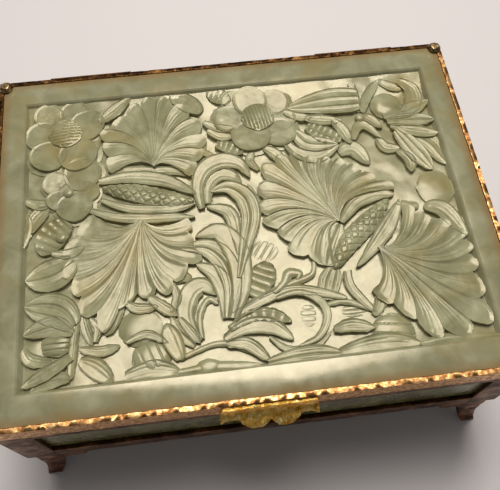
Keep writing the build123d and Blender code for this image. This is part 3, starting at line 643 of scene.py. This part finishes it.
carve_blades("top_centre_leaves", (
    (((-8.6, 32.6), (-4.4, 29.8), (0.6, 29.4)), 3.0, 1, PLAIN),
    (((-7.6, 29.4), (-4.0, 26.8), (0.4, 26.2)), 3.0, 1, PLAIN),
    (((-5.6, 24.0), (-2.0, 22.6), (2.2, 20.0)), 4.2, 1, {"lines": 6}),
    (((0.0, 39.0), (-3.0, 42.0), (-6.6, 43.8)), 5.8, 1, {"lines": 6}),
    (((15.2, 22.4), (18.6, 17.8), (24.4, 16.0), (31.0, 19.4)), 4.4, 1, PLAIN),
    (((18.4, 25.6), (22.0, 21.2), (30.6, 19.8)), 5.6, 2, PLAIN),
    (((22.4, 27.2), (26.8, 24.0), (32.0, 20.8)), 5.8, 2, {"lines": 7}),
    (((30.8, 28.6), (33.0, 24.6), (34.6, 19.4)), 3.8, 1, PLAIN),
    (((8.6, 21.4), (11.6, 18.8), (13.8, 14.4)), 3.8, 1, LOW),
    (((-8.8, 36.6), (-12.6, 40.4), (-18.0, 44.4)), 6.4, 1, {"top": -0.6}),
    (((-6.6, 20.2), (-9.8, 22.6), (-8.4, 27.0)), 2.6, 1, LOW),
    (((6.0, 13.6), (3.8, 17.4), (5.6, 20.6)), 2.6, 1, LOW),
))
carve_blades("foot_hills", (
    (((-35.0, -43.4), (-28.0, -42.2), (-21.0, -43.6)), 5.0, 1, {"top": -0.6, "root_share": 0.5}),
    (((-21.6, -43.8), (-14.0, -43.4), (-6.8, -44.0), (-0.8, -44.2)), 3.2, 0, {"top": -0.6}),
    (((1.0, -44.0), (8.0, -43.0), (15.0, -43.0), (20.2, -43.8)), 4.2, 2, {"top": -0.6}),
    (((19.4, -43.6), (27.0, -42.4), (34.0, -42.4), (41.0, -43.8)), 5.0, 1, {"top": -0.6}),
    (((40.4, -44.0), (48.0, -43.4), (55.0, -43.8), (61.8, -44.0)), 3.4, 0, {"top": -0.6}),
))

# The two seed pods: spindles rounded over and cut across with a lattice of fine V grooves. The lines
# are 1.9 mm apart and run at 45 degrees to the pod.
LATTICE_PITCH = 1.9
LATTICE_DEPTH = 0.34
LATTICE_HALF_WIDTH = 0.3
POD_TOP = -0.05
POD_ROUND = 0.7
POD_END_FALL = 0.4
POD_ACROSS = 32
POD_ALONG = 150
PODS = {
    "left_pod": (((-39.4, 12.8), (-31.0, 10.4), (-22.0, 7.4), (-13.8, 5.2)), 6.0),
    "right_pod": (((22.4, -20.4), (27.6, -13.2), (34.4, -7.2), (41.4, -0.8)), 6.2),
}
for name, (spine, width) in PODS.items():
    pod = bmesh.new()
    length = sum((smooth_line(spine, step / 20) - smooth_line(spine, (step - 1) / 20)).length
                 for step in range(1, 21))

    def place(side, run):
        half = width / 2 * max(sin(pi * (0.03 + 0.94 * run)), 0.02) ** 0.75
        spot = smooth_line(spine, run) + square_across(spine, run) * side * half
        groove = 0.0
        for way in (-1, 1):
            beat = (run * length + way * side * half) / (LATTICE_PITCH * sqrt(2))
            away = abs(beat - round(beat)) * LATTICE_PITCH
            groove = max(groove, 1 - away / LATTICE_HALF_WIDTH)
        height = POD_TOP - POD_ROUND * side * side - POD_END_FALL * (2 * run - 1) ** 4
        return (spot.x, spot.y, height - LATTICE_DEPTH * groove)

    raise_patch(pod, place, POD_ACROSS, POD_ALONG)
    wall_down(pod)
    to_lid(pod)
    finish_piece(pod, name, "lid", motif_jade, 30)

# Blossoms: rings of round, flat petals with thin raised rims that lap over one another, each cut at its
# own level over a low swelling, round a domed eye. The larger eyes are cut with fine lines.
PETAL_AROUND = 44
PETAL_RINGS = 12
LINED_CELLS = 44
PLAIN_CELLS = 24
PETAL_DISH = 0.16
PETAL_RIM = 0.94
PETAL_RIM_SLOPE = 0.35
PETAL_BEVEL = 0.25
PETAL_BEVEL_FROM = 0.96
PETAL_BEVEL_WIDTH = 0.04
PETAL_WAVER = 0.07
PETAL_LIFT = 0.42
BED_SPREAD = 1.2
BED_TOP = -1.25
BED_SWELL = 0.3
EYE_LINE_PITCH = 1.1
EYE_LINE_DEPTH = 0.26
EYE_LINE_HALF = 0.3


def carve_petal(shape, eye, x, y, radius, top):
    """A round petal: a flat floor inside a thin raised rim, lifted a little on the side away from the
    blossom's eye."""
    outward = (Vector((x, y)) - Vector(eye)).normalized()

    def place(side, run):
        angle, reach = side * pi, sin(run * pi / 2)
        edge = radius * (1 + PETAL_WAVER * noise.noise(Vector((x + cos(angle), y + sin(angle), radius))))
        inside = min(max((PETAL_RIM - reach) * radius / PETAL_RIM_SLOPE, 0), 1)
        height = top - PETAL_DISH * inside * inside * (3 - 2 * inside)
        height -= PETAL_BEVEL * max((reach - PETAL_BEVEL_FROM) / PETAL_BEVEL_WIDTH, 0) ** 2
        height += PETAL_LIFT * reach * outward.dot(Vector((cos(angle), sin(angle))))
        spot = Vector((x + edge * reach * cos(angle), y + edge * reach * sin(angle)))
        return (spot.x, spot.y, height + TOOL_MARK * noise.noise(Vector((spot.x, spot.y, top)) * 0.8))

    raise_patch(shape, place, PETAL_AROUND, PETAL_RINGS)
    wall_down(shape)


def carve_dome(shape, centre, half_x, half_y, top, height, pitch=0.0, turn=0.0):
    """A low dome, cut with fine straight lines pitch apart, or plain."""

    def place(side, run):
        up = run * 2 - 1
        x = side * sqrt(1 - up * up / 2) * half_x
        y = up * sqrt(1 - side * side / 2) * half_y
        reach = min((x / half_x) ** 2 + (y / half_y) ** 2, 1.0)
        fall = height * reach ** 1.6
        if pitch and reach < 0.85:
            beat = (x * cos(radians(turn)) + y * sin(radians(turn))) / pitch
            fall += EYE_LINE_DEPTH * max(1 - abs(beat - round(beat)) * pitch / EYE_LINE_HALF, 0)
        return (centre[0] + x, centre[1] + y, top - fall)

    cells = LINED_CELLS if pitch else PLAIN_CELLS
    raise_patch(shape, place, cells, cells)
    wall_down(shape)


BLOSSOMS = {
    "top_left_blossom": (((-49.9, 33.5), 5.0, 5.0, -0.1, 0.6, EYE_LINE_PITCH, 95), (
        (-47.4, 40.6, 4.7, -1.0), (-55.0, 40.6, 4.4, -0.85), (-56.8, 33.2, 5.4, -0.95),
        (-43.6, 36.0, 5.5, -0.8), (-55.0, 26.0, 5.7, -0.7), (-46.4, 25.6, 6.0, -0.65))),
    "lower_left_blossom": (((-49.2, 12.6), 1.6, 1.6, -0.4, 0.6), (
        (-52.6, 16.0, 4.0, -0.95), (-45.2, 18.4, 5.6, -0.75), (-43.8, 12.2, 3.6, -0.95),
        (-52.0, 10.4, 3.4, -1.0), (-47.4, 7.8, 5.2, -0.75))),
    "top_centre_blossom": (((8.2, 32.6), 5.0, 5.0, -0.1, 0.6, EYE_LINE_PITCH, 10), (
        (1.2, 39.6, 4.0, -1.0), (14.0, 37.8, 4.8, -0.95), (6.6, 39.0, 5.4, -0.75),
        (15.4, 31.4, 4.4, -1.05), (-0.2, 33.0, 5.2, -0.9), (14.0, 26.4, 5.4, -0.8),
        (5.4, 26.2, 6.0, -0.7))),
}
for name, (eye, petals) in BLOSSOMS.items():
    blossom = bmesh.new()
    for (x, y, radius, top) in petals:
        single = bmesh.new()
        carve_dome(single, (x, y), radius * BED_SPREAD, radius * BED_SPREAD, BED_TOP, BED_SWELL)
        join_shell(blossom, single)
    for petal in petals:
        single = bmesh.new()
        carve_petal(single, eye[0], *petal)
        join_shell(blossom, single)
    single = bmesh.new()
    carve_dome(single, *eye)
    join_shell(blossom, single)
    to_lid(blossom)
    finish_piece(blossom, name, "lid", motif_jade, 35)

# Buds and half flowers: low rounded domes of the slab's own jade, left standing where the ground round
# them was cut away. Some are cut with lines. They fill the corners of the field.
BUDS = (
    ((-28.2, -38.8), 5.2, 5.0, -0.9, 1.0, 2.4, 20),
    ((34.4, -40.2), 6.0, 6.2, -1.1, 1.0, 2.6, 80),
    ((-52.2, -32.6), 4.0, 3.4, -0.4, 0.9, 1.5, 90),
    ((48.1, 32.3), 4.8, 4.9, -0.1, 1.2, 0.0, 0),
    ((56.0, 1.6), 5.4, 5.8, -0.8, 0.6, 0.0, 0),
    ((-51.0, -2.0), 1.6, 1.5, -0.1, 0.6, 0.0, 0),
    ((39.2, 28.6), 1.5, 1.5, -0.2, 0.6, 0.0, 0),
    ((-30.6, -30.6), 5.8, 5.2, -1.1, 0.5, 0.0, 0),
    ((-14.0, -43.2), 3.4, 2.2, -0.5, 0.8, 0.0, 0),
)
buds = bmesh.new()
for bud in BUDS:
    single = bmesh.new()
    carve_dome(single, *bud)
    join_shell(buds, single)
to_lid(buds)
finish_piece(buds, "buds", "lid", motif_jade, 35)

# Fine lines cut in the ground: short parallel strokes on swellings that hardly rise out of it. They
# shade the ground between the stems.
STROKE_TOP = GROUND + 0.32
STROKE_SWELL = 0.5
STROKES = (
    ((4.4, -12.2), 5.0, 4.2, 1.9, -35),
    ((26.0, -32.4), 4.6, 2.6, 1.2, 88),
    ((-19.4, -34.0), 2.6, 3.4, 1.5, 20),
    ((13.4, -32.6), 3.0, 4.4, 1.7, 85),
    ((-2.0, 26.6), 2.6, 2.4, 1.2, 40),
)
stroked_ground = bmesh.new()
for centre, half_x, half_y, pitch, turn in STROKES:
    single = bmesh.new()
    carve_dome(single, centre, half_x, half_y, STROKE_TOP, STROKE_SWELL, pitch, turn)
    join_shell(stroked_ground, single)
to_lid(stroked_ground)
finish_piece(stroked_ground, "stroked_ground", "lid", ground_jade, 50)

# Corner rivets of the rim: brass pins through the mitres, hammered over into round heads. They are dark,
# with a rubbed crown.
RIVET_EDGE = 0.12
RIVET_CELL = 0.9
RIVET_WANDER = 0.12
rivet_brass = cut_brass("rubbed_rivet_brass", "#3a2a1c", "#8d7350", "#e5d3a4", polish=0.25, grain_mm=1.6)
for corner_name in ("front_left", "front_right", "rear_right", "rear_left"):
    worn_copy(f"{corner_name}_rivet", "lid", rivet_brass, RIVET_EDGE, RIVET_CELL,
              RIVET_WANDER)

# The thumb tab: cut from gilt brass sheet with a scalloped edge, hammered, bent out and down, and soldered
# to the front rail.
TAB_EDGE = 0.22
TAB_CELL = 0.9
TAB_WANDER = 0.45
tab_gilt = cut_brass("hammered_gilt_brass", "#b5781f", "#f0bd55", "#ffe9a2", polish=0.24, grain_mm=1.4,
                     dent_mm=0.6)
worn_copy("thumb_tab", "lid", tab_gilt, TAB_EDGE, TAB_CELL, TAB_WANDER)

# The hinges: leaves of sheet brass rolled into knuckles round a brass pin, in the same unlacquered metal
# as the case frame. What the real ones look like is not known.
for node, cad_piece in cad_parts.items():
    if "hinge" in node:
        cad_piece.data.materials.clear()
        cad_piece.data.materials.append(browned_brass)

# The table: a plain pale board with matt paint, wide enough to fill the view. It is not part of the box
# and only takes its shadow.
TABLE_HALF = 2.5
board = bmesh.new()
bmesh.ops.create_grid(board, x_segments=1, y_segments=1, size=TABLE_HALF)
board_mesh = bpy.data.meshes.new("table_top")
board.to_mesh(board_mesh)
board.free()
table_top = bpy.data.objects.new("table_top", board_mesh)
bpy.context.scene.collection.objects.link(table_top)
paint = start_material("pale_matt_paint")
coat = add_node(paint, "ShaderNodeBsdfPrincipled", {"Base Color": linear("#e9e3e3"), "Roughness": 0.6})
add_node(paint, "ShaderNodeOutputMaterial", {"Surface": coat.outputs["BSDF"]})
board_mesh.materials.append(paint)

# Light: a window as a soft lamp high behind the box, turned so that its reflection lies over the lid's
# middle and front but not its left and far borders, and a pale room all round that fills the shade.
WINDOW_TARGET = Vector((0.0, 0.0, 0.058))
WINDOW_WAY = Vector((0.062, 0.322, 0.945)).normalized()
WINDOW_DISTANCE = 0.645
WINDOW_TURN = -27
window = bpy.data.lights.new("window", "AREA")
window.shape = "RECTANGLE"
window.size = 0.36
window.size_y = 0.43
window.energy = 4.4
window.color = linear("#fffaf3")[:3]
window_object = bpy.data.objects.new("window", window)
window_object.location = WINDOW_TARGET + WINDOW_WAY * WINDOW_DISTANCE
facing = WINDOW_WAY.to_track_quat("Z", "Y") @ Quaternion((0, 0, 1), radians(WINDOW_TURN))
window_object.rotation_euler = facing.to_euler()
bpy.context.scene.collection.objects.link(window_object)

room = bpy.data.worlds.new("pale_room")
room.use_nodes = True
room.node_tree.nodes["Background"].inputs["Color"].default_value = linear("#f4f3f2")
room.node_tree.nodes["Background"].inputs["Strength"].default_value = 0.13
bpy.context.scene.world = room

# The camera stands close in front of the box and a little to its left, looking steeply down. Its place
# and its lens come from the lid's four corners in the photograph.
camera = bpy.data.cameras.new("camera")
camera.lens = 46.708
camera.sensor_width = 36.0
camera.clip_start = 0.01
camera_object = bpy.data.objects.new("camera", camera)
camera_object.location = (-0.009689, -0.089031, 0.216869)
camera_object.rotation_euler = Euler((radians(26.512), radians(-0.1243), radians(-7.0837)))
bpy.context.scene.collection.objects.link(camera_object)
bpy.context.scene.camera = camera_object
bpy.context.scene.view_settings.view_transform = "Standard"
